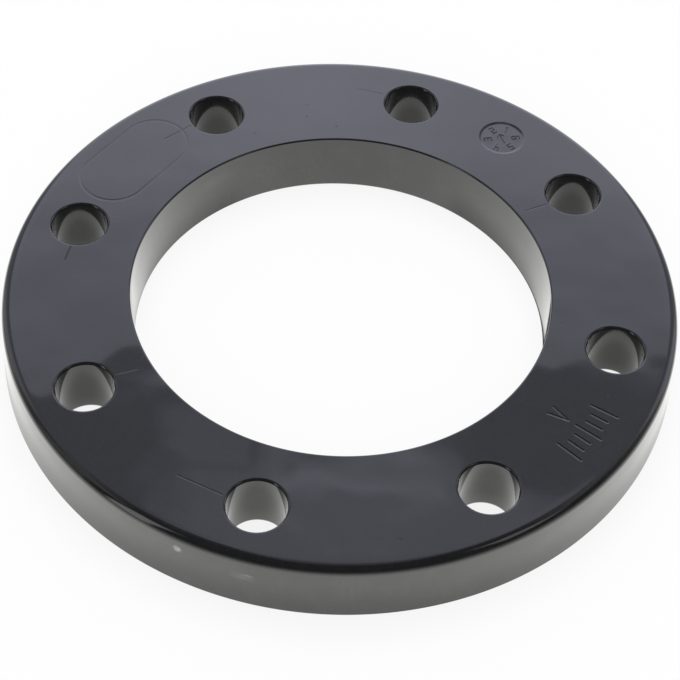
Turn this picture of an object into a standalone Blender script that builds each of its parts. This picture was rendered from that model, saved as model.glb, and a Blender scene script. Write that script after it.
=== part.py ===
"""Loose backing flange for a 110 mm plastic pipe, moulded in one piece.

Metres, +Z up. The origin is the centre of the lower face, and +Z runs up the bore's axis.
The bolt holes straddle the X and Y axes. The flange lies on its wide lower face. The upper
face, with the large rim radius, is the one that the bolt heads bear on.
"""
import math

import bpy
from mathutils import Matrix, Vector

# Driving dimensions
BORE_DIAMETER = 0.135          # at the lower face, where the tapered bore is narrowest
BORE_WALL = 0.0135             # material between the bore and a bolt hole
BOLT_HOLE_DIAMETER = 0.018     # at the lower face, where the tapered hole is narrowest
RIM_WALL = 0.011               # material between a bolt hole and the outer wall
THICKNESS = 0.022
BOLT_HOLE_COUNT = 8

# Draft that lets the moulding leave its tool
OUTER_DRAFT_DEG = 3.5
BORE_DRAFT_DEG = 1.0
BOLT_HOLE_DRAFT_DEG = 0.5

# Edge roundings
TOP_RIM_RADIUS = 0.003
BOTTOM_RIM_RADIUS = 0.0005
BORE_TOP_RADIUS = 0.0006
BORE_BOTTOM_RADIUS = 0.001
BOLT_HOLE_TOP_RADIUS = 0.0008
BOLT_HOLE_BOTTOM_RADIUS = 0.0018

# Sizes that follow: with the values above, a 180 mm pitch circle in a 220 mm ring
PITCH_RADIUS = BORE_DIAMETER / 2 + BORE_WALL + BOLT_HOLE_DIAMETER / 2
OUTER_RADIUS = PITCH_RADIUS + BOLT_HOLE_DIAMETER / 2 + RIM_WALL

# Facets
RING_STEPS = 112
BOLT_HOLE_STEPS = 32
TOP_RIM_ARC_STEPS = 5
BOLT_HOLE_BOTTOM_ARC_STEPS = 3
SMALL_ARC_STEPS = 2
SEAM_MERGE = 0.00001

# How far the drill body for a bolt hole stands out of both faces
DRILL_OVERSHOOT = 0.005

# Finish: glossy black rigid plastic
COLOUR = (0.030, 0.032, 0.037, 1.0)
ROUGHNESS = 0.18
METALLIC = 0.0


def clear_scene():
    """Remove every object that the scene holds."""
    for item in list(bpy.data.objects):
        bpy.data.objects.remove(item, do_unlink=True)


def taper(height, draft_deg):
    """How far a drafted wall moves sideways over a height."""
    return height * math.tan(math.radians(draft_deg))


def tangent_arc(before, corner, after, radius, steps):
    """Points of the arc that rounds a corner and touches both of its sides."""
    corner = Vector(corner)
    to_before = (Vector(before) - corner).normalized()
    to_after = (Vector(after) - corner).normalized()
    half_angle = to_before.angle(to_after) / 2
    centre = corner + (to_before + to_after).normalized() * radius / math.sin(half_angle)
    start = corner + to_before * radius / math.tan(half_angle) - centre
    end = corner + to_after * radius / math.tan(half_angle) - centre
    sweep = math.atan2(start.cross(end), start.dot(end))
    return [centre + Matrix.Rotation(sweep * step / steps, 2) @ start for step in range(steps + 1)]


def rounded_outline(corners):
    """Closed outline through (radius from the axis, height, rounding, arc steps) corners."""
    points = []
    for index, (distance, height, rounding, steps) in enumerate(corners):
        before = corners[index - 1][:2]
        after = corners[(index + 1) % len(corners)][:2]
        points += tangent_arc(before, (distance, height), after, rounding, steps)
    return points


def ring_section():
    """Half section of the ring, running down its outer side and back up the bore."""
    bore_radius = BORE_DIAMETER / 2
    bore_top = bore_radius + taper(THICKNESS, BORE_DRAFT_DEG)
    rim_top = OUTER_RADIUS - taper(THICKNESS, OUTER_DRAFT_DEG)
    return rounded_outline([
        (bore_top, THICKNESS, BORE_TOP_RADIUS, SMALL_ARC_STEPS),
        (rim_top, THICKNESS, TOP_RIM_RADIUS, TOP_RIM_ARC_STEPS),
        (OUTER_RADIUS, 0.0, BOTTOM_RIM_RADIUS, SMALL_ARC_STEPS),
        (bore_radius, 0.0, BORE_BOTTOM_RADIUS, SMALL_ARC_STEPS),
    ])


def drill_section():
    """Half section of the body that cuts a bolt hole: a tapered shank with flared mouths."""
    narrow = BOLT_HOLE_DIAMETER / 2
    wide = narrow + taper(THICKNESS, BOLT_HOLE_DRAFT_DEG)
    lower_edge = (narrow, 0.0)
    upper_edge = (wide, THICKNESS)
    upper_mouth = tangent_arc(
        (wide + RIM_WALL, THICKNESS), upper_edge, lower_edge, BOLT_HOLE_TOP_RADIUS, SMALL_ARC_STEPS)
    lower_mouth = tangent_arc(
        upper_edge, lower_edge, (narrow + RIM_WALL, 0.0),
        BOLT_HOLE_BOTTOM_RADIUS, BOLT_HOLE_BOTTOM_ARC_STEPS)
    top = THICKNESS + DRILL_OVERSHOOT
    bottom = -DRILL_OVERSHOOT
    return [
        Vector((0.0, top)),
        Vector((upper_mouth[0].x, top)),
        *upper_mouth,
        *lower_mouth,
        Vector((lower_mouth[-1].x, bottom)),
        Vector((0.0, bottom)),
    ]


def turned(name, section, steps, closed):
    """Object whose mesh is a section, given as (distance, height) points, turned about Z."""
    mesh = bpy.data.meshes.new(name)
    edges = [(index, index + 1) for index in range(len(section) - 1)]
    if closed:
        edges.append((len(section) - 1, 0))
    mesh.from_pydata([(point.x, 0.0, point.y) for point in section], edges, [])
    body = bpy.data.objects.new(name, mesh)
    bpy.context.collection.objects.link(body)

    screw = body.modifiers.new("turn", "SCREW")
    screw.axis = "Z"
    screw.angle = math.tau
    screw.steps = steps
    screw.render_steps = steps
    screw.use_merge_vertices = True
    screw.merge_threshold = SEAM_MERGE
    screw.use_smooth_shade = True
    return body


def bolt_hole_places():
    """Centre and angle of each bolt hole; the first pair straddles the +X axis."""
    for index in range(BOLT_HOLE_COUNT):
        angle = math.tau * (index + 0.5) / BOLT_HOLE_COUNT
        yield Vector((PITCH_RADIUS * math.cos(angle), PITCH_RADIUS * math.sin(angle), 0.0)), angle


def drill_bolt_holes(ring):
    """Cut the bolt holes through the ring, with one tapered drill body for each."""
    drills = bpy.data.collections.new("bolt_hole_drills")
    bpy.context.scene.collection.children.link(drills)
    for number, (centre, angle) in enumerate(bolt_hole_places()):
        drill = turned(f"drill_{number}", drill_section(), BOLT_HOLE_STEPS, closed=False)
        bpy.context.collection.objects.unlink(drill)
        drills.objects.link(drill)
        drill.location = centre
        # half a facet of turn, so that no drill edge lies along a radial edge of the ring
        drill.rotation_euler.z = angle + math.pi / BOLT_HOLE_STEPS
        drill.hide_render = True
        drill.display_type = "WIRE"

    cut = ring.modifiers.new("bolt_holes", "BOOLEAN")
    cut.operation = "DIFFERENCE"
    cut.operand_type = "COLLECTION"
    cut.collection = drills
    cut.solver = "EXACT"

    # smooth shading that keeps the two wide faces looking flat
    ring.modifiers.new("flat_face_shading", "WEIGHTED_NORMAL")


def black_plastic():
    """The moulding's material."""
    material = bpy.data.materials.new("black_plastic")
    material.use_nodes = True
    shader = material.node_tree.nodes["Principled BSDF"]
    shader.inputs["Base Color"].default_value = COLOUR
    shader.inputs["Roughness"].default_value = ROUGHNESS
    shader.inputs["Metallic"].default_value = METALLIC
    return material


def make_flange():
    """The whole flange: a turned ring with its bolt holes."""
    flange = turned("flange_ring", ring_section(), RING_STEPS, closed=True)
    drill_bolt_holes(flange)
    flange.data.materials.append(black_plastic())
    return flange


clear_scene()
make_flange()
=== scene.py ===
"""Looks of a loose backing flange: a glossy black one-piece moulding on a white studio table.

The whole visible flange is one turned and drilled shell that stands for the solid node.
The frame is the solid's: +Z up, with the origin at the centre of the lower face. The shell and
its marks are worked out in millimetres, and MM turns them into Blender's metres.
"""
import math

import bpy
import numpy as np
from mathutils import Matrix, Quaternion, Vector
from mathutils.geometry import delaunay_2d_cdt


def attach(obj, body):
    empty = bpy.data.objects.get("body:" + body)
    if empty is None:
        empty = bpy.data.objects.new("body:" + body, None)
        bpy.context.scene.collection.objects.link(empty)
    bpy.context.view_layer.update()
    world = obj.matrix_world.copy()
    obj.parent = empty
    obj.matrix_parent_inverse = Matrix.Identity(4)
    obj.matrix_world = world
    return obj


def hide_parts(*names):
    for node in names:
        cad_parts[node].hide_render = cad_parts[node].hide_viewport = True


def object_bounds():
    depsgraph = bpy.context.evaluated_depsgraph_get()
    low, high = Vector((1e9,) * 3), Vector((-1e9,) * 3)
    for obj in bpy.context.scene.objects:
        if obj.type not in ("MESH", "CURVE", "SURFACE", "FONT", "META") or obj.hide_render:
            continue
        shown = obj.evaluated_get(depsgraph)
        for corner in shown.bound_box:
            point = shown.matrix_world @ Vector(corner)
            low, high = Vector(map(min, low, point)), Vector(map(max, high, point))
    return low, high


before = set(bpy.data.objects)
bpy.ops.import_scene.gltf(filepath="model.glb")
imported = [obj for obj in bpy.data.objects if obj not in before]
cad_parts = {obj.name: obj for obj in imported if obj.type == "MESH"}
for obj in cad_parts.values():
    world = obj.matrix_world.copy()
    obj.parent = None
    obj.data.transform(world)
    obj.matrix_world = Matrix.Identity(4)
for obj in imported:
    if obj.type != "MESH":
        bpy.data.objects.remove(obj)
cad_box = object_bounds()

MM = 0.001

# Driving dimensions of the flange, the same as the solid's, in millimetres and degrees
BORE_DIAMETER = 135.0
BORE_WALL = 13.5
BOLT_HOLE_DIAMETER = 18.0
RIM_WALL = 11.0
THICKNESS = (cad_box[1].z - cad_box[0].z) / MM
BOLT_HOLE_COUNT = 8
OUTER_DRAFT_DEG = 3.5
BORE_DRAFT_DEG = 1.0
BOLT_HOLE_DRAFT_DEG = 0.5
TOP_RIM_RADIUS = 3.0
BOTTOM_RIM_RADIUS = 0.5
BORE_TOP_RADIUS = 0.6
BORE_BOTTOM_RADIUS = 1.0
BOLT_HOLE_TOP_RADIUS = 0.8
BOLT_HOLE_BOTTOM_RADIUS = 1.8
PITCH_RADIUS = BORE_DIAMETER / 2 + BORE_WALL + BOLT_HOLE_DIAMETER / 2
OUTER_RADIUS = PITCH_RADIUS + BOLT_HOLE_DIAMETER / 2 + RIM_WALL

# How far the solid's facets reach, which the rounder shell doesn't pass
LARGEST_RADIUS = cad_box[1].x / MM

# Strip inside the upper rim where the face already falls away: width in millimetres and slope
TOP_RIM_LEAD = 1.6
TOP_RIM_LEAD_DEG = 1.2

# Fineness of the mesh
RING_STEPS = 576
BOLT_HOLE_STEPS = 96
TOP_RIM_ARC_STEPS = 16
BOLT_HOLE_ARC_STEPS = 9
SMALL_ARC_STEPS = 6
WALL_STEPS = 4
LEAD_STEPS = 4
OVAL_END_STEPS = 24
STROKE_END_STEPS = 6
SPECK_STEPS = 10
DIAL_STEPS = 120

# Rows of points that the face's mesh gets along a mark, as shares of its half width
GROOVE_ROWS = (-1.0, -0.5, 0.0, 0.5, 1.0)
OUTLINE_ROWS = (0.5, 1.0)

# In millimetres: how near points merge, how far a slope is measured to each side, and how deep
# a mark starts to count
MERGE_DISTANCE = 0.0005
SLOPE_REACH = 0.01
SLIGHTEST_DROP = 0.00001

# Marks on the upper face are placed by (distance from the axis in millimetres, angle in degrees)
# Knit lines: start, end and depth
KNIT_LINES = [
    ((89.8, 126.2), (89.8, 119.2), 0.055),
    ((94.0, 79.6), (92.5, 74.2), 0.030),
    ((79.4, 22.5), (71.4, 23.1), 0.036),
    ((91.1, 330.6), (93.0, 325.8), 0.016),
    ((90.4, 231.0), (90.1, 240.6), 0.036),
    ((79.5, 202.5), (73.0, 203.4), 0.010),
    ((89.7, 164.2), (90.2, 168.1), 0.075),
]
KNIT_HALF_WIDTH = 0.42
SPECKS = [
    (85.7, 91.6), (79.6, 92.2), (74.0, 84.7), (75.7, 106.8), (71.8, 341.9), (98.5, 269.6), (99.2, 273.3),
]
SPECK_RADIUS = 0.55
SPECK_DEPTH = 0.06

# Oval outline of a mould insert, left blank inside
OVAL_PLACE = (89.9, 135.3)
OVAL_TILT_DEG = 1.0
OVAL_HALF_LENGTH = 21.7
OVAL_HALF_WIDTH = 11.4
OVAL_GROOVE_HALF_WIDTH = 0.8
OVAL_GROOVE_DEPTH = 0.042

# Sunk round insert with a plain numbered dial, whose strokes rise to the face again
DIAL_PLACE = (90.0, 45.0)
DIAL_RADIUS = 7.6
DIAL_DEPTH = 0.22
DIAL_EDGE_HALF_WIDTH = 0.6
DIAL_NUMBERS = 6
DIAL_NUMBER_DISTANCE = 4.9
DIAL_NUMBER_HEIGHT = 2.6
DIAL_POINTER_REACH = 2.2
DIAL_POINTER_TURN_DEG = 60.0
DIAL_STROKE_HALF_WIDTH = 0.3
DIAL_STROKE_RISE = DIAL_DEPTH

# Strokes of each digit, in a cell one unit wide and two units high
DIGITS = {
    "1": [[(0.2, 1.6), (0.5, 2.0), (0.5, 0.0)]],
    "2": [[(0.0, 2.0), (1.0, 2.0), (1.0, 1.0), (0.0, 1.0), (0.0, 0.0), (1.0, 0.0)]],
    "3": [[(0.0, 2.0), (1.0, 2.0), (1.0, 0.0), (0.0, 0.0)], [(0.3, 1.0), (1.0, 1.0)]],
    "4": [[(0.0, 2.0), (0.0, 1.0), (1.0, 1.0)], [(1.0, 2.0), (1.0, 0.0)]],
    "5": [[(1.0, 2.0), (0.0, 2.0), (0.0, 1.0), (1.0, 1.0), (1.0, 0.0), (0.0, 0.0)]],
    "6": [[(1.0, 2.0), (0.0, 2.0), (0.0, 0.0), (1.0, 0.0), (1.0, 1.0), (0.0, 1.0)]],
}

# Plain graduated scale round the axis, with a pointer at its middle stroke. Its angle is in
# degrees and its other places are distances from the axis
SCALE_ANGLE = 316.0
SCALE_STEP_DEG = 2.0
SCALE_STROKES = 7
SCALE_STROKES_PER_LONG_ONE = 3
SCALE_DISTANCE = 94.5
SCALE_LONG_STROKE = 9.0
SCALE_SHORT_STROKE = 5.5
SCALE_POINTER_DISTANCE = 84.0
SCALE_POINTER_SIZE = 3.2
SCALE_STROKE_HALF_WIDTH = 0.6
SCALE_DEPTH = 0.27

# The photograph's view: direction in degrees, then the camera's place and aim in millimetres
VIEW_AZIMUTH = 81.358
CAMERA_DISTANCE = 389.617
CAMERA_HEIGHT = 459.394
CAMERA_AIM = (-1.650, -13.667, 11.0)
CAMERA_ROLL_DEG = 2.822
CAMERA_LENS = 95.99
CAMERA_SENSOR = 36.0

# Ramps below are (value where the change starts, value where it ends), and where four numbers
# are given, the last two are the results there. Noises are (scale, detail, roughness).
WHITE = (1.0, 1.0, 1.0, 1.0)

# Plastic
PLASTIC_TONES = [(0.0070, 0.0072, 0.0078, 1.0), (0.0110, 0.0112, 0.0122, 1.0)]
MOTTLE_NOISE = (900.0, 2.0, 0.6)
MOTTLE_RAMP = (0.3, 0.7)
PLASTIC_IOR = 1.54
SKIN_IOR = 1.5
SKIN_ROUGHNESS = 0.035
HAZE_NOISE = (32.0, 3.0, 0.6)
HAZE_RAMP = (0.35, 0.75, 0.06, 0.13)

# Slight waves and fine peel of the moulded skin, with bump heights in metres
WAVE_NOISE = (24.0, 2.0, 0.45)
WAVE_SHIFT = (-0.94, -0.07, 0.89)
WAVE_HEIGHT = 0.0005
PEEL_NOISE = (420.0, 2.0, 0.5)
PEEL_HEIGHT = 0.000002

# Thin cloudy dust on the walls, which fades in between two heights in millimetres
DUST_TONE = (0.028, 0.028, 0.026, 1.0)
DUST_LEVELS = (20.0, 17.5)
DUST_GRAIN_NOISE = (800.0, 3.0, 0.65)
DUST_GRAIN_RAMP = (0.35, 0.65)
DUST_CLOUD_NOISE = (90.0, 4.0, 0.6)
DUST_CLOUD_RAMP = (0.38, 0.66)

# Scuff marks on the outer wall, and in the last entry a painted reflection, a faint lighter
# patch on the bore wall: distance from the axis, angle in degrees, height, half length and half
# height, with lengths in millimetres, and strength
SCUFFS_AND_REFLECTION_PATCH = [
    (109.0, 237.6, 15.9, 1.9, 1.8, 0.75),
    (109.1, 249.1, 14.0, 2.8, 0.5, 0.32),
    (109.1, 248.4, 13.0, 5.0, 2.4, 0.10),
    # painted reflection: a faint lighter patch on the bore wall, not a scuff
    (67.7, 123.0, 15.5, 11.0, 3.6, 0.06),
]
# light tone of the scuff marks and of the painted reflection patch
SCUFF_AND_REFLECTION_TONE = (0.60, 0.60, 0.58, 1.0)
SCUFF_EDGE = (1.0, 0.2)
SCUFF_NOISE = (2600.0, 2.0, 0.7)
SCUFF_NOISE_RAMP = (0.34, 0.6, 0.35, 1.0)
SCUFF_ROUGHNESS = 0.5

# White table, with lengths in metres. Seen straight it is mostly pure white near the flange,
# and the rest shows the shadow; farther out it is pure white alone
TABLE_RADIUS = 2.4
TABLE_STEPS = 96
TABLE_DROP = 0.0002
TABLE_COLOUR = (0.95, 0.95, 0.95, 1.0)
TABLE_GLOW = 0.88
TABLE_GLOW_END = (0.30, 0.70)

# The table as the plastic mirrors it: a painted pool of light round the flange, and a painted bright
# sector behind it. Lengths are in metres, and sectors in degrees off straight ahead in the photograph
MIRRORED_TINT = (1.0, 0.995, 0.978, 1.0)
POOL_FADE = (0.108, 0.28)
POOL_FAR = 0.28
POOL_SECTOR = (58.0, 44.0)
POOL_BACK = 0.7

# Painted shadow of the flange in that pool, beside its walls. It is widest in front and behind, and
# narrows to the left and right as the cosine of SHADE_NARROWING times the angle round the
# flange. In the bore it lies at the left and right alone
SHADE_NARROWING = 1.1
SHADE_NARROWEST = 0.08
SHADE_AT_WALL = 0.70
SHADE_REACH_OUTSIDE = 0.017
SHADE_SPREAD_OUTSIDE = 0.75
SHADE_REACH_INSIDE = 0.013
SHADE_SPREAD_INSIDE = 1.05
SHADE_SIDES_INSIDE = (25.0, 55.0)

# Painted shade on the table in the bolt holes, by distance from their axes, and brighter in those near the
# camera
HOLE_SHADE_FADE = (0.003, 0.0085)
HOLE_SHADES = (0.50, 0.66)
HOLE_NEAR_CAMERA = (80.0, 150.0)
HOLE_SHADE_NEAR_CAMERA = 1.26

# Painted shadow in the narrow gap under the bore's foot, on the camera's right alone
CREVICE_FADE = (0.0004, 0.0009)
CREVICE_SHADE = 0.92
CREVICE_SIDE = (0.035, 0.052)

# Studio ceiling: its brightness by elevation and by angle off straight ahead, in degrees
CEILING_RISE = (56.0, 68.0, 0.34, 0.10)
CEILING_END = (112.0, 80.0)
CEILING_SIDES = (88.0, 66.0, 0.45, 1.0)
CEILING_LEAST = 0.05

# Pale band round the room at the foot of the ceiling
BAND_FOOT = (40.0, 47.0, 0.0, 0.30)
BAND_TOP = (60.0, 50.0)
BAND_END = (120.0, 95.0)

# Strip of light overhead, by its reach across and ahead as parts of a unit direction
STRIP_LEFT = (-0.12, -0.07)
STRIP_RIGHT = (0.23, 0.12)
STRIP_AHEAD = (-0.25, 0.50, 0.0, 0.28)
STRIP_FOOT = (53.5, 55.2)

# Large soft box at the back, brightest a little to the left, with its upper edge on a slope.
# Angles are in degrees: azimuths run to the right of straight ahead
BACK_TILT = 0.058
BACK_MIDDLE = -2.0
BACK_SPREAD = (0.0, 10.0, 1.0, 0.86)
BACK_RISE = (42.5, 50.0, 1.27, 0.92)
BACK_SIDES = (38.0, 16.0)
BACK_TOP = (50.8, 49.8)

# Smaller soft boxes: azimuth, elevation, half width and half height in degrees, and strength
SOFT_BOXES = [
    (1.5, 54.0, 5.0, 1.6, 0.36),
    (-6.8, 53.1, 2.8, 1.0, 0.22),
    (-63.0, 15.0, 12.0, 32.0, 0.26),
    (62.0, 14.0, 11.0, 30.0, 0.40),
    (-98.0, 24.0, 10.0, 26.0, 0.20),
    (-123.0, 20.0, 7.5, 30.0, 1.05),
    (116.0, 47.0, 12.0, 13.0, 0.62),
]
SOFT_BOX_EDGE = (1.2, 0.6)

# White low down, as seen straight and as mirrored, and the bluer light of the back
LOW_SEEN = (12.0, 5.0)
LOW_MIRRORED = (16.0, 0.0, 0.0, POOL_FAR)
BACK_TINT = (0.97, 0.99, 1.17, 1.0)
BACK_TINT_END = (50.0, 85.0)

# Soft lamps: name, how far beyond the flange and how high in metres, size in metres, power
LAMPS = [
    ("overhead", 0.5, 1.5, 1.2, 15.8),
    ("fill", -1.3, 0.9, 0.9, 9.0),
]


def taper(height, draft_deg):
    """How far a drafted wall moves sideways over a height."""
    return height * math.tan(math.radians(draft_deg))


def polar(place):
    """Point on the plane from (distance from the axis, angle in degrees)."""
    distance, angle = place
    return np.array([distance * math.cos(math.radians(angle)), distance * math.sin(math.radians(angle))])


def smooth(share):
    """Smooth step from 0 to 1."""
    share = np.clip(share, 0.0, 1.0)
    return share * share * (3 - 2 * share)


def hump(away):
    """Rounded profile: 1 at the middle of a mark and 0 at its edge."""
    return np.where(away < 1, (1 + np.cos(np.pi * np.minimum(away, 1.0))) / 2, 0.0)


def circle(centre, radius, steps):
    """Points round a circle."""
    angles = np.arange(steps) * math.tau / steps
    return np.stack([centre[0] + radius * np.cos(angles), centre[1] + radius * np.sin(angles)], axis=1)


def stadium(centre, along, half_length, half_width, steps):
    """Oval outline with straight sides and round ends."""
    across = np.array([-along[1], along[0]])
    points = []
    for end in (1.0, -1.0):
        middle = centre + along * end * (half_length - half_width)
        for step in range(steps + 1):
            angle = math.pi * (step / steps - 0.5)
            points.append(middle + (along * math.cos(angle) + across * math.sin(angle)) * end * half_width)
    return points


def stroke_outline(start, end, half_width):
    """Outline of a straight stroke with round ends."""
    length = np.linalg.norm(end - start)
    along = (end - start) / length
    return stadium((start + end) / 2, along, length / 2 + half_width, half_width, STROKE_END_STEPS)


def side_directions(path):
    """Unit vector across a closed line at each of its points."""
    along = np.roll(path, -1, axis=0) - np.roll(path, 1, axis=0)
    along /= np.linalg.norm(along, axis=1)[:, None]
    return np.stack([-along[:, 1], along[:, 0]], axis=1)


def distance_to_path(spots, path, closed):
    """Distance from each spot to the nearest point of a line."""
    ends = np.vstack([path, path[:1]]) if closed else path
    nearest = np.full(len(spots), np.inf)
    for start, end in zip(ends, ends[1:]):
        span = end - start
        share = np.clip((spots - start) @ span / (span @ span), 0.0, 1.0)
        nearest = np.minimum(nearest, np.linalg.norm(spots - start - share[:, None] * span, axis=1))
    return nearest


def tangent_arc(before, corner, after, radius, steps):
    """Points and outward normals of the arc that rounds a corner and touches both of its sides."""
    corner = np.array(corner, float)
    to_before = np.array(before, float) - corner
    to_after = np.array(after, float) - corner
    to_before /= np.linalg.norm(to_before)
    to_after /= np.linalg.norm(to_after)
    half_angle = math.acos(to_before @ to_after) / 2
    middle = to_before + to_after
    centre = corner + middle / np.linalg.norm(middle) * radius / math.sin(half_angle)
    start = (corner + to_before * radius / math.tan(half_angle) - centre) / radius
    end = (corner + to_after * radius / math.tan(half_angle) - centre) / radius
    sweep = math.atan2(start[0] * end[1] - start[1] * end[0], start @ end)
    rows = []
    for step in range(steps + 1):
        turn = sweep * step / steps
        normal = np.array([
            start[0] * math.cos(turn) - start[1] * math.sin(turn),
            start[0] * math.sin(turn) + start[1] * math.cos(turn),
        ])
        rows.append((centre + normal * radius, normal))
    return rows


def wall_rows(upper_arc, lower_arc):
    """An upper arc, the straight wall below it in a few steps, and a lower arc."""
    rows = list(upper_arc)
    top, normal = upper_arc[-1]
    bottom = lower_arc[0][0]
    for step in range(1, WALL_STEPS):
        rows.append((top + (bottom - top) * step / WALL_STEPS, normal))
    return rows + list(lower_arc)


def rim_rows():
    """Section of the outer wall, from the upper face down to the lower face."""
    upper = (OUTER_RADIUS - taper(THICKNESS, OUTER_DRAFT_DEG), THICKNESS)
    lower = (OUTER_RADIUS, 0.0)
    rows = wall_rows(
        tangent_arc((0.0, THICKNESS), upper, lower, TOP_RIM_RADIUS, TOP_RIM_ARC_STEPS),
        tangent_arc(upper, lower, (0.0, 0.0), BOTTOM_RIM_RADIUS, SMALL_ARC_STEPS))
    rows = [(np.array([min(point[0], LARGEST_RADIUS), point[1]]), normal) for point, normal in rows]

    # the face starts to fall away a little before the rounding
    slope = math.radians(TOP_RIM_LEAD_DEG)
    drop = TOP_RIM_LEAD * math.tan(slope) / 2
    lead = []
    for step in range(LEAD_STEPS):
        share = step / LEAD_STEPS
        place = np.array([rows[0][0][0] - TOP_RIM_LEAD * (1 - share), THICKNESS - drop * share ** 2])
        lead.append((place, np.array([math.sin(slope * share), math.cos(slope * share)])))

    # the rounding below it sinks by as much, and the lower half of the wall stays where it is
    middle = THICKNESS / 2
    sunk = []
    for point, normal in rows:
        place = np.array([point[0], point[1] - drop * smooth((point[1] - middle) / middle)])
        tilt = max(slope, math.atan2(normal[0], normal[1]))
        sunk.append((place, np.array([math.sin(tilt), math.cos(tilt)])))
    return lead + sunk


def opening_rows(lower_radius, draft_deg, top_radius, bottom_radius, arc_steps):
    """Section of an opening's wall about its own axis, from the upper face down to the lower."""
    lower = (lower_radius, 0.0)
    upper = (lower_radius + taper(THICKNESS, draft_deg), THICKNESS)
    return wall_rows(
        tangent_arc((OUTER_RADIUS, THICKNESS), upper, lower, top_radius, arc_steps),
        tangent_arc(upper, lower, (OUTER_RADIUS, 0.0), bottom_radius, arc_steps))


class Skin:
    """Vertices, normals and faces of the shell as they are made."""

    def __init__(self):
        self.points = []
        self.normals = []
        self.faces = []

    def add(self, point, normal):
        """Add one vertex and return its number."""
        self.points.append(tuple(point))
        self.normals.append(tuple(normal))
        return len(self.points) - 1

    def turned_wall(self, rows, centre, steps, outward):
        """Wall turned about a vertical axis; returns its upper and lower loops of vertices."""
        rings = []
        for point, normal in rows:
            ring = []
            for step in range(steps):
                angle = math.tau * step / steps
                c, s = math.cos(angle), math.sin(angle)
                ring.append(self.add(
                    (centre[0] + point[0] * c, centre[1] + point[0] * s, point[1]),
                    (normal[0] * c, normal[0] * s, normal[1])))
            rings.append(ring)
        for upper, lower in zip(rings, rings[1:]):
            for step in range(steps):
                after = (step + 1) % steps
                face = (upper[step], lower[step], lower[after], upper[after])
                self.faces.append(face if outward else face[::-1])
        return rings[0], rings[-1]


class Relief:
    """Shallow marks on the upper face, as rows of points to mesh and a height to look up."""

    def __init__(self):
        self.points = []
        self.edges = []
        self.marks = []

    def row(self, points, closed):
        """A chain of edges that the mesh of the face has to follow."""
        first = len(self.points)
        self.points += [tuple(point) for point in points]
        last = len(self.points) - 1
        self.edges += [(number, number + 1) for number in range(first, last)]
        if closed:
            self.edges.append((last, first))

    def stroke(self, points, half_width, depth):
        """A rounded groove along straight strokes, or a rounded ridge where depth is negative."""
        path = np.array(points, float)
        for start, end in zip(path, path[1:]):
            for share in OUTLINE_ROWS:
                self.row(stroke_outline(start, end, half_width * share), True)
            self.row([start, end], False)
        self.marks.append(("line", path, False, half_width, depth))

    def loop(self, points, half_width, depth):
        """A rounded groove along a smooth closed line."""
        path = np.array(points, float)
        side = side_directions(path)
        for share in GROOVE_ROWS:
            self.row(path + side * share * half_width, True)
        self.marks.append(("line", path, True, half_width, depth))

    def pit(self, centre, radius, depth):
        """A small rounded pit."""
        for share in OUTLINE_ROWS:
            self.row(circle(centre, radius * share, SPECK_STEPS), True)
        self.points.append(tuple(centre))
        self.marks.append(("pit", np.array(centre), radius, depth))

    def pad(self, centre, radius, half_width, depth):
        """A round area sunk below the face, with a rounded step round it."""
        for share in GROOVE_ROWS:
            self.row(circle(centre, radius + share * half_width, DIAL_STEPS), True)
        self.marks.append(("pad", np.array(centre), radius, half_width, depth))

    def drop(self, spots):
        """How far the face lies below its plane at each (x, y) spot."""
        sunk = np.zeros(len(spots))
        cut = np.zeros(len(spots))
        rise = np.zeros(len(spots))
        for kind, *mark in self.marks:
            if kind == "pad":
                centre, radius, half_width, depth = mark
                inside = (radius - np.linalg.norm(spots - centre, axis=1)) / half_width
                sunk += depth * smooth((inside + 1) / 2)
            elif kind == "pit":
                centre, radius, depth = mark
                away = np.linalg.norm(spots - centre, axis=1) / radius
                cut = np.maximum(cut, depth * hump(away))
            else:
                path, closed, half_width, depth = mark
                shape = abs(depth) * hump(distance_to_path(spots, path, closed) / half_width)
                if depth > 0:
                    cut = np.maximum(cut, shape)
                else:
                    rise = np.maximum(rise, shape)
        return sunk + cut - rise

    def slopes(self, spots):
        """How steeply the face falls at each spot, along X and along Y."""
        steps = np.array([(SLOPE_REACH, 0.0), (0.0, SLOPE_REACH)])
        rises = [self.drop(spots + step) - self.drop(spots - step) for step in steps]
        slopes = np.stack(rises, axis=1) / (2 * SLOPE_REACH)
        slopes[np.abs(self.drop(spots)) < SLIGHTEST_DROP] = 0.0
        return slopes


def add_dial(relief):
    """Sunk round insert with numbers round it and a pointer in the middle."""
    centre = polar(DIAL_PLACE)
    relief.pad(centre, DIAL_RADIUS, DIAL_EDGE_HALF_WIDTH, DIAL_DEPTH)
    unit = DIAL_NUMBER_HEIGHT / 2
    for number in range(1, DIAL_NUMBERS + 1):
        angle = math.tau * number / DIAL_NUMBERS
        up = np.array([math.cos(angle), math.sin(angle)])
        right = np.array([up[1], -up[0]])
        middle = centre + up * DIAL_NUMBER_DISTANCE
        for stroke in DIGITS[str(number)]:
            path = [middle + right * (x - 0.5) * unit + up * (y - 1.0) * unit for x, y in stroke]
            relief.stroke(path, DIAL_STROKE_HALF_WIDTH, -DIAL_STROKE_RISE)

    up = polar((1.0, DIAL_PLACE[1] + DIAL_POINTER_TURN_DEG))
    right = np.array([up[1], -up[0]])
    tip = centre + up * DIAL_POINTER_REACH
    relief.stroke([centre - up * DIAL_POINTER_REACH, tip], DIAL_STROKE_HALF_WIDTH, -DIAL_STROKE_RISE)
    barb = DIAL_POINTER_REACH / 2
    for side in (-1.0, 1.0):
        relief.stroke([tip, tip - up * barb + right * barb * side], DIAL_STROKE_HALF_WIDTH, -DIAL_STROKE_RISE)


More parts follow.
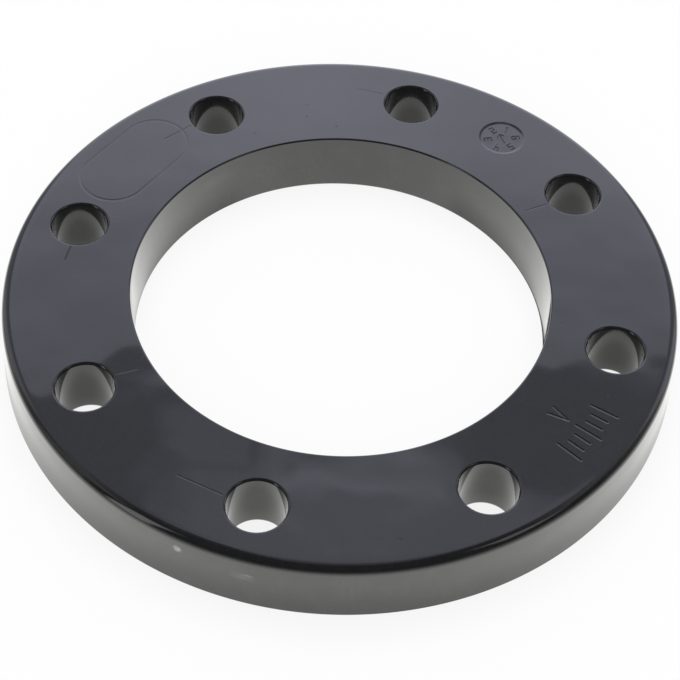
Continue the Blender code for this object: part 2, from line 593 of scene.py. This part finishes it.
def add_scale(relief):
    """Graduated scale round the axis, with a pointer at its middle stroke."""
    for number in range(SCALE_STROKES):
        place = number - (SCALE_STROKES - 1) / 2
        outward = polar((1.0, SCALE_ANGLE + place * SCALE_STEP_DEG))
        reach = (SCALE_SHORT_STROKE if place % SCALE_STROKES_PER_LONG_ONE else SCALE_LONG_STROKE) / 2
        relief.stroke([outward * (SCALE_DISTANCE - reach), outward * (SCALE_DISTANCE + reach)],
                      SCALE_STROKE_HALF_WIDTH, SCALE_DEPTH)
    outward = polar((1.0, SCALE_ANGLE))
    along = np.array([-outward[1], outward[0]])
    tip = outward * (SCALE_POINTER_DISTANCE + SCALE_POINTER_SIZE)
    foot = outward * (SCALE_POINTER_DISTANCE - SCALE_POINTER_SIZE)
    half_width = along * SCALE_POINTER_SIZE / 2
    relief.stroke([foot - half_width, tip, foot + half_width], SCALE_STROKE_HALF_WIDTH, SCALE_DEPTH)


def upper_face_relief():
    """Every mark on the upper face."""
    relief = Relief()
    for start, end, depth in KNIT_LINES:
        relief.stroke([polar(start), polar(end)], KNIT_HALF_WIDTH, depth)
    for place in SPECKS:
        relief.pit(polar(place), SPECK_RADIUS, SPECK_DEPTH)
    along = polar((1.0, OVAL_PLACE[1] + 90.0 + OVAL_TILT_DEG))
    oval = stadium(polar(OVAL_PLACE), along, OVAL_HALF_LENGTH, OVAL_HALF_WIDTH, OVAL_END_STEPS)
    relief.loop(oval, OVAL_GROOVE_HALF_WIDTH, OVAL_GROOVE_DEPTH)
    add_dial(relief)
    add_scale(relief)
    return relief


def fill_face(skin, outer, openings, height, relief):
    """Mesh the flat face between its loops; upward where a relief is given, else downward."""
    spots = []
    edges = []
    corners = []
    opening_of = []
    for number, loop in enumerate([outer, *openings]):
        first = len(spots)
        spots += [Vector(skin.points[corner][:2]) for corner in loop]
        edges += [(first + step, first + (step + 1) % len(loop)) for step in range(len(loop))]
        corners += loop
        opening_of += [number] * len(loop)
    upward = relief is not None
    if upward:
        edges += [(len(spots) + a, len(spots) + b) for a, b in relief.edges]
        spots += [Vector(point) for point in relief.points]
    made, _, triangles, origins, _, _ = delaunay_2d_cdt(spots, edges, [], 0, MERGE_DISTANCE, True)

    places = np.array([tuple(point) for point in made])
    drop = relief.drop(places) if upward else np.zeros(len(places))
    slopes = relief.slopes(places) if upward else np.zeros((len(places), 2))
    vertices = []
    opening = []
    for place, fall, slope, origin in zip(places, drop, slopes, origins):
        on_loop = [source for source in origin if source < len(corners)]
        if on_loop:
            vertices.append(corners[on_loop[0]])
            opening.append(opening_of[on_loop[0]])
        else:
            normal = np.array([slope[0], slope[1], 1.0]) if upward else np.array([0.0, 0.0, -1.0])
            vertices.append(skin.add((*place, height - fall), normal / np.linalg.norm(normal)))
            opening.append(0)

    # a triangle with all its corners on one opening's loop lies inside that opening
    for triangle in triangles:
        loops = {opening[corner] for corner in triangle}
        if loops == {0} or len(loops) > 1:
            face = tuple(vertices[corner] for corner in triangle)
            skin.faces.append(face if upward else face[::-1])


def make_flange_shell():
    """The visible flange as one closed mesh."""
    skin = Skin()
    rim = skin.turned_wall(rim_rows(), (0.0, 0.0), RING_STEPS, True)
    bore_rows = opening_rows(
        BORE_DIAMETER / 2, BORE_DRAFT_DEG, BORE_TOP_RADIUS, BORE_BOTTOM_RADIUS, SMALL_ARC_STEPS)
    bore = skin.turned_wall(bore_rows, (0.0, 0.0), RING_STEPS, False)
    bolt_hole_rows = opening_rows(
        BOLT_HOLE_DIAMETER / 2, BOLT_HOLE_DRAFT_DEG, BOLT_HOLE_TOP_RADIUS,
        BOLT_HOLE_BOTTOM_RADIUS, BOLT_HOLE_ARC_STEPS)
    holes = []
    for hole in range(BOLT_HOLE_COUNT):
        centre = polar((PITCH_RADIUS, 360.0 * (hole + 0.5) / BOLT_HOLE_COUNT))
        holes.append(skin.turned_wall(bolt_hole_rows, centre, BOLT_HOLE_STEPS, False))
    upper_loops = [bore[0], *(hole[0] for hole in holes)]
    lower_loops = [bore[1], *(hole[1] for hole in holes)]
    fill_face(skin, rim[0], upper_loops, THICKNESS, upper_face_relief())
    fill_face(skin, rim[1], lower_loops, 0.0, None)

    mesh = bpy.data.meshes.new("flange_shell")
    mesh.from_pydata((np.array(skin.points) * MM).tolist(), [], skin.faces)
    mesh.update()
    mesh.shade_smooth()
    mesh.normals_split_custom_set_from_vertices([tuple(normal) for normal in skin.normals])
    mesh.materials.append(black_plastic())
    shell = bpy.data.objects.new("flange_shell", mesh)
    bpy.context.scene.collection.objects.link(shell)
    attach(shell, "root")
    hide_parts("flange_ring")


class Nodes:
    """Short names for adding and wiring nodes in one tree."""

    def __init__(self, tree):
        self.tree = tree

    def add(self, kind, **settings):
        """Add a node and set its properties."""
        node = self.tree.nodes.new(kind)
        for name, value in settings.items():
            setattr(node, name, value)
        return node

    def feed(self, socket, value):
        """Give a socket a fixed value, or the output that drives it."""
        if isinstance(value, bpy.types.NodeSocket):
            self.tree.links.new(value, socket)
        else:
            socket.default_value = value

    def math(self, operation, *values):
        """A math node's result."""
        node = self.add("ShaderNodeMath", operation=operation)
        for socket, value in zip(node.inputs, values):
            self.feed(socket, value)
        return node.outputs[0]

    def product(self, first, *others):
        """Several values multiplied together."""
        for other in others:
            first = self.math("MULTIPLY", first, other)
        return first

    def vector(self, operation, *values):
        """A vector math node, of which the caller takes the output that it needs."""
        node = self.add("ShaderNodeVectorMath", operation=operation)
        for socket, value in zip(node.inputs, values):
            self.feed(socket, value)
        return node.outputs

    def ramp(self, value, start, end, low=0.0, high=1.0):
        """Smooth change from low to high as a value goes from start to end."""
        node = self.add("ShaderNodeMapRange", interpolation_type="SMOOTHSTEP")
        for name, setting in (
                ("Value", value), ("From Min", start), ("From Max", end), ("To Min", low), ("To Max", high)):
            self.feed(node.inputs[name], setting)
        return node.outputs["Result"]

    def noise(self, place, scale, detail, rough):
        """Noise between 0 and 1 at a place."""
        node = self.add("ShaderNodeTexNoise")
        self.feed(node.inputs["Vector"], place)
        node.inputs["Scale"].default_value = scale
        node.inputs["Detail"].default_value = detail
        node.inputs["Roughness"].default_value = rough
        return node.outputs["Fac"]

    def bump(self, height, distance):
        """Bump node that raises the surface by a distance where its height is 1."""
        node = self.add("ShaderNodeBump")
        node.inputs["Strength"].default_value = 1.0
        node.inputs["Distance"].default_value = distance
        self.feed(node.inputs["Height"], height)
        return node

    def blend(self, share, first, second):
        """Colour between two others; a Mix node's sockets share names, so these go by number."""
        node = self.add("ShaderNodeMix", data_type="RGBA")
        self.feed(node.inputs[0], share)
        self.feed(node.inputs[6], first)
        self.feed(node.inputs[7], second)
        return node.outputs[2]

    def ahead_and_across(self, place):
        """How far a place or direction lies along the photograph's view, and to its right."""
        away = polar((1.0, VIEW_AZIMUTH))
        ahead = self.vector("DOT_PRODUCT", place, (away[0], away[1], 0.0))[1]
        across = self.vector("DOT_PRODUCT", place, (away[1], -away[0], 0.0))[1]
        return ahead, across


def scuffs_at(nodes, place):
    """How strongly the walls are scuffed at a place, with the painted reflection patch on the bore wall
    counted in.
    """
    scuffs_and_reflection = 0.0
    for distance, angle, height, half_length, half_height, strength in SCUFFS_AND_REFLECTION_PATCH:
        spot = (*(polar((distance, angle)) * MM), height * MM)
        offset = nodes.vector("SUBTRACT", place, spot)[0]
        squeeze = (1 / (half_length * MM), 1 / (half_length * MM), 1 / (half_height * MM))
        away = nodes.vector("LENGTH", nodes.vector("MULTIPLY", offset, squeeze)[0])[1]
        scuffs_and_reflection = nodes.math("MAXIMUM", scuffs_and_reflection, nodes.ramp(away, *SCUFF_EDGE, 0.0, strength))
    return nodes.product(scuffs_and_reflection, nodes.ramp(nodes.noise(place, *SCUFF_NOISE), *SCUFF_NOISE_RAMP))


def dust_at(nodes, place):
    """How thick the dust lies at a place, with none on the upper face."""
    height = nodes.add("ShaderNodeSeparateXYZ")
    nodes.feed(height.inputs[0], place)
    low_down = nodes.ramp(height.outputs["Z"], *(level * MM for level in DUST_LEVELS))
    grain = nodes.ramp(nodes.noise(place, *DUST_GRAIN_NOISE), *DUST_GRAIN_RAMP)
    clouds = nodes.ramp(nodes.noise(place, *DUST_CLOUD_NOISE), *DUST_CLOUD_RAMP)
    return nodes.product(grain, clouds, low_down)


def shade_in_holes(nodes, place, distance, azimuth):
    """Painted shade of the pool by how far a place lies off the axis of the nearest bolt hole."""
    parts = nodes.add("ShaderNodeSeparateXYZ")
    nodes.feed(parts.inputs[0], place)
    turn = nodes.math("ARCTAN2", parts.outputs["Y"], parts.outputs["X"])
    pitch = math.tau / BOLT_HOLE_COUNT
    turn = nodes.math("SUBTRACT", nodes.math("FLOORED_MODULO", turn, pitch), pitch / 2)
    radial = nodes.math("SUBTRACT", nodes.product(distance, nodes.math("COSINE", turn)), PITCH_RADIUS * MM)
    sideways = nodes.product(distance, nodes.math("SINE", turn))
    off_centre = nodes.math("SQRT", nodes.math(
        "ADD", nodes.product(radial, radial), nodes.product(sideways, sideways)))
    return nodes.product(nodes.ramp(off_centre, *HOLE_SHADE_FADE, *HOLE_SHADES),
                         nodes.ramp(azimuth, *HOLE_NEAR_CAMERA, 1.0, HOLE_SHADE_NEAR_CAMERA))


def pool_of_light(nodes, place, distance, ahead, across):
    """Painted brightness of the table as the plastic mirrors it, with the flange's own shadow painted in it.
    """
    azimuth = nodes.math("DEGREES", nodes.math("ABSOLUTE", nodes.math("ARCTAN2", across, ahead)))
    pool = nodes.ramp(distance, *POOL_FADE, 1.0, POOL_FAR)
    pool = nodes.math("MAXIMUM", pool, nodes.ramp(azimuth, *POOL_SECTOR, 0.0, POOL_BACK))

    # painted shadow beside the walls, by how far a place lies from them and on which side of the flange
    off_axis = nodes.math("SUBTRACT", 90.0, nodes.math("ABSOLUTE", nodes.math("SUBTRACT", azimuth, 90.0)))
    spread = nodes.math("COSINE", nodes.math("RADIANS", nodes.product(off_axis, SHADE_NARROWING)))
    spread = nodes.math("MAXIMUM", spread, SHADE_NARROWEST)
    outside = nodes.math("SUBTRACT", distance, OUTER_RADIUS * MM)
    inside = nodes.math("SUBTRACT", BORE_DIAMETER / 2 * MM, distance)
    beside = nodes.ramp(nodes.math("DIVIDE", outside, nodes.product(spread, SHADE_SPREAD_OUTSIDE)),
                        0.0, SHADE_REACH_OUTSIDE, SHADE_AT_WALL, 1.0)
    within = nodes.ramp(nodes.math("DIVIDE", inside, nodes.product(spread, SHADE_SPREAD_INSIDE)),
                        0.0, SHADE_REACH_INSIDE, SHADE_AT_WALL, 1.0)
    within = nodes.math("MAXIMUM", within, nodes.ramp(off_axis, *SHADE_SIDES_INSIDE, 1.0, 0.0))
    beside = nodes.product(beside, nodes.math("GREATER_THAN", outside, 0.0))
    within = nodes.product(within, nodes.math("GREATER_THAN", inside, 0.0))
    under = nodes.math("LESS_THAN", nodes.math("MAXIMUM", outside, inside), 0.0)
    in_holes = shade_in_holes(nodes, place, distance, azimuth)
    shade = nodes.math("MULTIPLY_ADD", under, in_holes, nodes.math("ADD", beside, within))

    # painted shadow in the narrow gap under the bore's foot, on the right alone
    crevice_shadow = nodes.ramp(nodes.math("ABSOLUTE", inside), *CREVICE_FADE, CREVICE_SHADE, 0.0)
    crevice_shadow = nodes.product(crevice_shadow, nodes.ramp(across, *CREVICE_SIDE))
    return nodes.product(pool, shade, nodes.math("SUBTRACT", 1.0, crevice_shadow))


def ceiling_light(nodes, side, elevation, ahead, across):
    """Ceiling that darkens upward, the pale band below it and the strip of light in it."""
    ceiling = nodes.product(nodes.ramp(elevation, *CEILING_RISE), nodes.ramp(side, *CEILING_END),
                            nodes.ramp(side, *CEILING_SIDES))
    band = nodes.product(nodes.ramp(elevation, *BAND_FOOT), nodes.ramp(elevation, *BAND_TOP))
    ceiling = nodes.product(nodes.math("MAXIMUM", ceiling, band), nodes.ramp(side, *BAND_END))
    strip = nodes.product(nodes.ramp(across, *STRIP_LEFT), nodes.ramp(across, *STRIP_RIGHT),
                          nodes.ramp(ahead, *STRIP_AHEAD), nodes.ramp(elevation, *STRIP_FOOT))
    return nodes.math("ADD", nodes.math("MAXIMUM", ceiling, CEILING_LEAST), strip)


def back_box_light(nodes, azimuth, side, elevation):
    """Large soft box at the back, whose upper edge is a little higher on the left."""
    tilted = nodes.math("MULTIPLY_ADD", azimuth, BACK_TILT, elevation)
    off_middle = nodes.math("ABSOLUTE", nodes.math("SUBTRACT", azimuth, BACK_MIDDLE))
    bright = nodes.product(nodes.ramp(off_middle, *BACK_SPREAD), nodes.ramp(elevation, *BACK_RISE))
    return nodes.product(nodes.ramp(side, *BACK_SIDES), nodes.ramp(tilted, *BACK_TOP), bright)


def add_soft_boxes(nodes, room, azimuth, elevation):
    """The room with the smaller soft boxes added to it."""
    for where, rise, half_width, half_height, strength in SOFT_BOXES:
        across_box = nodes.math("DIVIDE", nodes.math("SUBTRACT", azimuth, where), half_width)
        up_box = nodes.math("DIVIDE", nodes.math("SUBTRACT", elevation, rise), half_height)
        away = nodes.math("MAXIMUM", nodes.math("ABSOLUTE", across_box), nodes.math("ABSOLUTE", up_box))
        room = nodes.math("MULTIPLY_ADD", nodes.ramp(away, *SOFT_BOX_EDGE), strength, room)
    return room


def black_plastic():
    """Glossy black moulded plastic: slightly wavy, with faint haze, dust, a few scuff marks and a faint
    painted reflection on the bore wall.
    """
    material = bpy.data.materials.new("black_plastic")
    material.use_nodes = True
    nodes = Nodes(material.node_tree)
    shader = material.node_tree.nodes["Principled BSDF"]
    place = nodes.add("ShaderNodeTexCoord").outputs["Object"]

    # scuff marks, and a painted reflection patch on the bore wall, lighten the base colour
    scuffs_and_reflection = scuffs_at(nodes, place)
    tone = nodes.blend(nodes.ramp(nodes.noise(place, *MOTTLE_NOISE), *MOTTLE_RAMP), *PLASTIC_TONES)
    tone = nodes.blend(dust_at(nodes, place), tone, DUST_TONE)
    nodes.feed(shader.inputs["Base Color"], nodes.blend(scuffs_and_reflection, tone, SCUFF_AND_REFLECTION_TONE))
    gloss = nodes.ramp(nodes.noise(place, *HAZE_NOISE), *HAZE_RAMP)
    nodes.feed(shader.inputs["Roughness"],
               nodes.math("MAXIMUM", gloss, nodes.product(scuffs_and_reflection, SCUFF_ROUGHNESS)))
    shader.inputs["IOR"].default_value = PLASTIC_IOR
    shader.inputs["Coat Weight"].default_value = 1.0
    shader.inputs["Coat IOR"].default_value = SKIN_IOR
    shader.inputs["Coat Roughness"].default_value = SKIN_ROUGHNESS

    waves = nodes.bump(nodes.noise(nodes.vector("ADD", place, WAVE_SHIFT)[0], *WAVE_NOISE), WAVE_HEIGHT)
    peel = nodes.bump(nodes.noise(place, *PEEL_NOISE), PEEL_HEIGHT)
    nodes.feed(peel.inputs["Normal"], waves.outputs["Normal"])
    for name in ("Normal", "Coat Normal"):
        nodes.feed(shader.inputs[name], peel.outputs["Normal"])
    return material


def white_table():
    """White seen straight, a painted pool of light and shadow that the plastic mirrors, matt for the shadow,
    clear from below.
    """
    material = bpy.data.materials.new("white_table")
    material.use_nodes = True
    tree = material.node_tree
    tree.nodes.clear()
    nodes = Nodes(tree)
    path = nodes.add("ShaderNodeLightPath").outputs
    place = nodes.add("ShaderNodeTexCoord").outputs["Object"]
    distance = nodes.vector("LENGTH", place)[1]
    pool = pool_of_light(nodes, place, distance, *nodes.ahead_and_across(place))

    straight = nodes.math("MAXIMUM", path["Is Camera Ray"], path["Is Transmission Ray"])
    glow = nodes.ramp(distance, *TABLE_GLOW_END, TABLE_GLOW, 1.0)
    seen = nodes.math("MAXIMUM", nodes.product(straight, glow), path["Is Glossy Ray"])
    matt = nodes.add("ShaderNodeBsdfDiffuse")
    matt.inputs["Color"].default_value = TABLE_COLOUR
    white = nodes.add("ShaderNodeEmission")
    nodes.feed(white.inputs["Color"], nodes.blend(straight, MIRRORED_TINT, WHITE))
    # glossy rays see the painted pool of light and painted shadows as this emission
    nodes.feed(white.inputs["Strength"], nodes.math("MAXIMUM", straight, pool))
    clear = nodes.add("ShaderNodeBsdfTransparent")
    from_below = nodes.add("ShaderNodeNewGeometry").outputs["Backfacing"]
    shown = matt
    for share, other in ((seen, white), (from_below, clear)):
        mix = nodes.add("ShaderNodeMixShader")
        nodes.feed(mix.inputs[0], share)
        nodes.feed(mix.inputs[1], shown.outputs[0])
        nodes.feed(mix.inputs[2], other.outputs[0])
        shown = mix
    output = nodes.add("ShaderNodeOutputMaterial")
    nodes.feed(output.inputs["Surface"], shown.outputs[0])
    return material


def make_floor():
    """Round table top that the flange lies on."""
    corners = [(*point, -TABLE_DROP) for point in circle((0.0, 0.0), TABLE_RADIUS, TABLE_STEPS).tolist()]
    mesh = bpy.data.meshes.new("floor")
    mesh.from_pydata(corners, [], [tuple(range(TABLE_STEPS))])
    mesh.materials.append(white_table())
    floor = bpy.data.objects.new("floor", mesh)
    bpy.context.scene.collection.objects.link(floor)


def make_room():
    """Studio room as seen from the table: white low down, a wide soft box at the back, dark above."""
    world = bpy.data.worlds.new("studio")
    bpy.context.scene.world = world
    world.use_nodes = True
    tree = world.node_tree
    tree.nodes.clear()
    nodes = Nodes(tree)
    direction = nodes.add("ShaderNodeTexCoord").outputs["Generated"]
    ahead, across = nodes.ahead_and_across(direction)
    up = nodes.vector("DOT_PRODUCT", direction, (0.0, 0.0, 1.0))[1]
    azimuth = nodes.math("DEGREES", nodes.math("ARCTAN2", across, ahead))
    elevation = nodes.math("DEGREES", nodes.math("ARCSINE", up))
    side = nodes.math("ABSOLUTE", azimuth)

    room = nodes.math("MAXIMUM", back_box_light(nodes, azimuth, side, elevation),
                      ceiling_light(nodes, side, elevation, ahead, across))
    room = add_soft_boxes(nodes, room, azimuth, elevation)

    # white behind the object in views from low down, which fades in reflections as the table does
    path = nodes.add("ShaderNodeLightPath").outputs
    straight = nodes.math("MAXIMUM", path["Is Camera Ray"], path["Is Transmission Ray"])
    low = nodes.math("MAXIMUM", nodes.product(nodes.ramp(elevation, *LOW_SEEN), straight),
                     nodes.product(nodes.ramp(elevation, *LOW_MIRRORED), path["Is Glossy Ray"]))

    # the light of the back is a little bluer than that of the sides
    plain = nodes.math("MAXIMUM", low, nodes.ramp(side, *BACK_TINT_END))
    background = nodes.add("ShaderNodeBackground")
    nodes.feed(background.inputs["Color"], nodes.blend(plain, BACK_TINT, WHITE))
    nodes.feed(background.inputs["Strength"], nodes.math("MAXIMUM", room, low))
    output = nodes.add("ShaderNodeOutputWorld")
    nodes.feed(output.inputs["Surface"], background.outputs[0])


def make_lamp(name, beyond, height, size, power):
    """Large soft lamp that lights the flange without showing in it."""
    data = bpy.data.lights.new(name, "AREA")
    data.shape = "DISK"
    data.size = size
    data.energy = power
    lamp = bpy.data.objects.new(name, data)
    lamp.location = (*(polar((1.0, VIEW_AZIMUTH)) * beyond), height)
    lamp.rotation_mode = "QUATERNION"
    lamp.rotation_quaternion = lamp.location.to_track_quat("Z", "Y")
    lamp.visible_glossy = False
    lamp.visible_camera = False
    bpy.context.scene.collection.objects.link(lamp)


def make_camera():
    """Camera at the photograph's viewing angle."""
    data = bpy.data.cameras.new("camera")
    data.sensor_width = CAMERA_SENSOR
    data.lens = CAMERA_LENS
    camera = bpy.data.objects.new("camera", data)
    towards = polar((1.0, VIEW_AZIMUTH))
    place = Vector((*(-towards * CAMERA_DISTANCE), CAMERA_HEIGHT)) * MM
    look = Vector(CAMERA_AIM) * MM - place
    level = look.to_track_quat("-Z", "Y")
    camera.rotation_mode = "QUATERNION"
    camera.rotation_quaternion = level @ Quaternion((0.0, 0.0, 1.0), math.radians(CAMERA_ROLL_DEG))
    camera.location = place
    bpy.context.scene.collection.objects.link(camera)
    bpy.context.scene.camera = camera


make_flange_shell()
make_floor()
make_room()
for lamp in LAMPS:
    make_lamp(*lamp)
make_camera()
bpy.context.scene.view_settings.view_transform = "Standard"
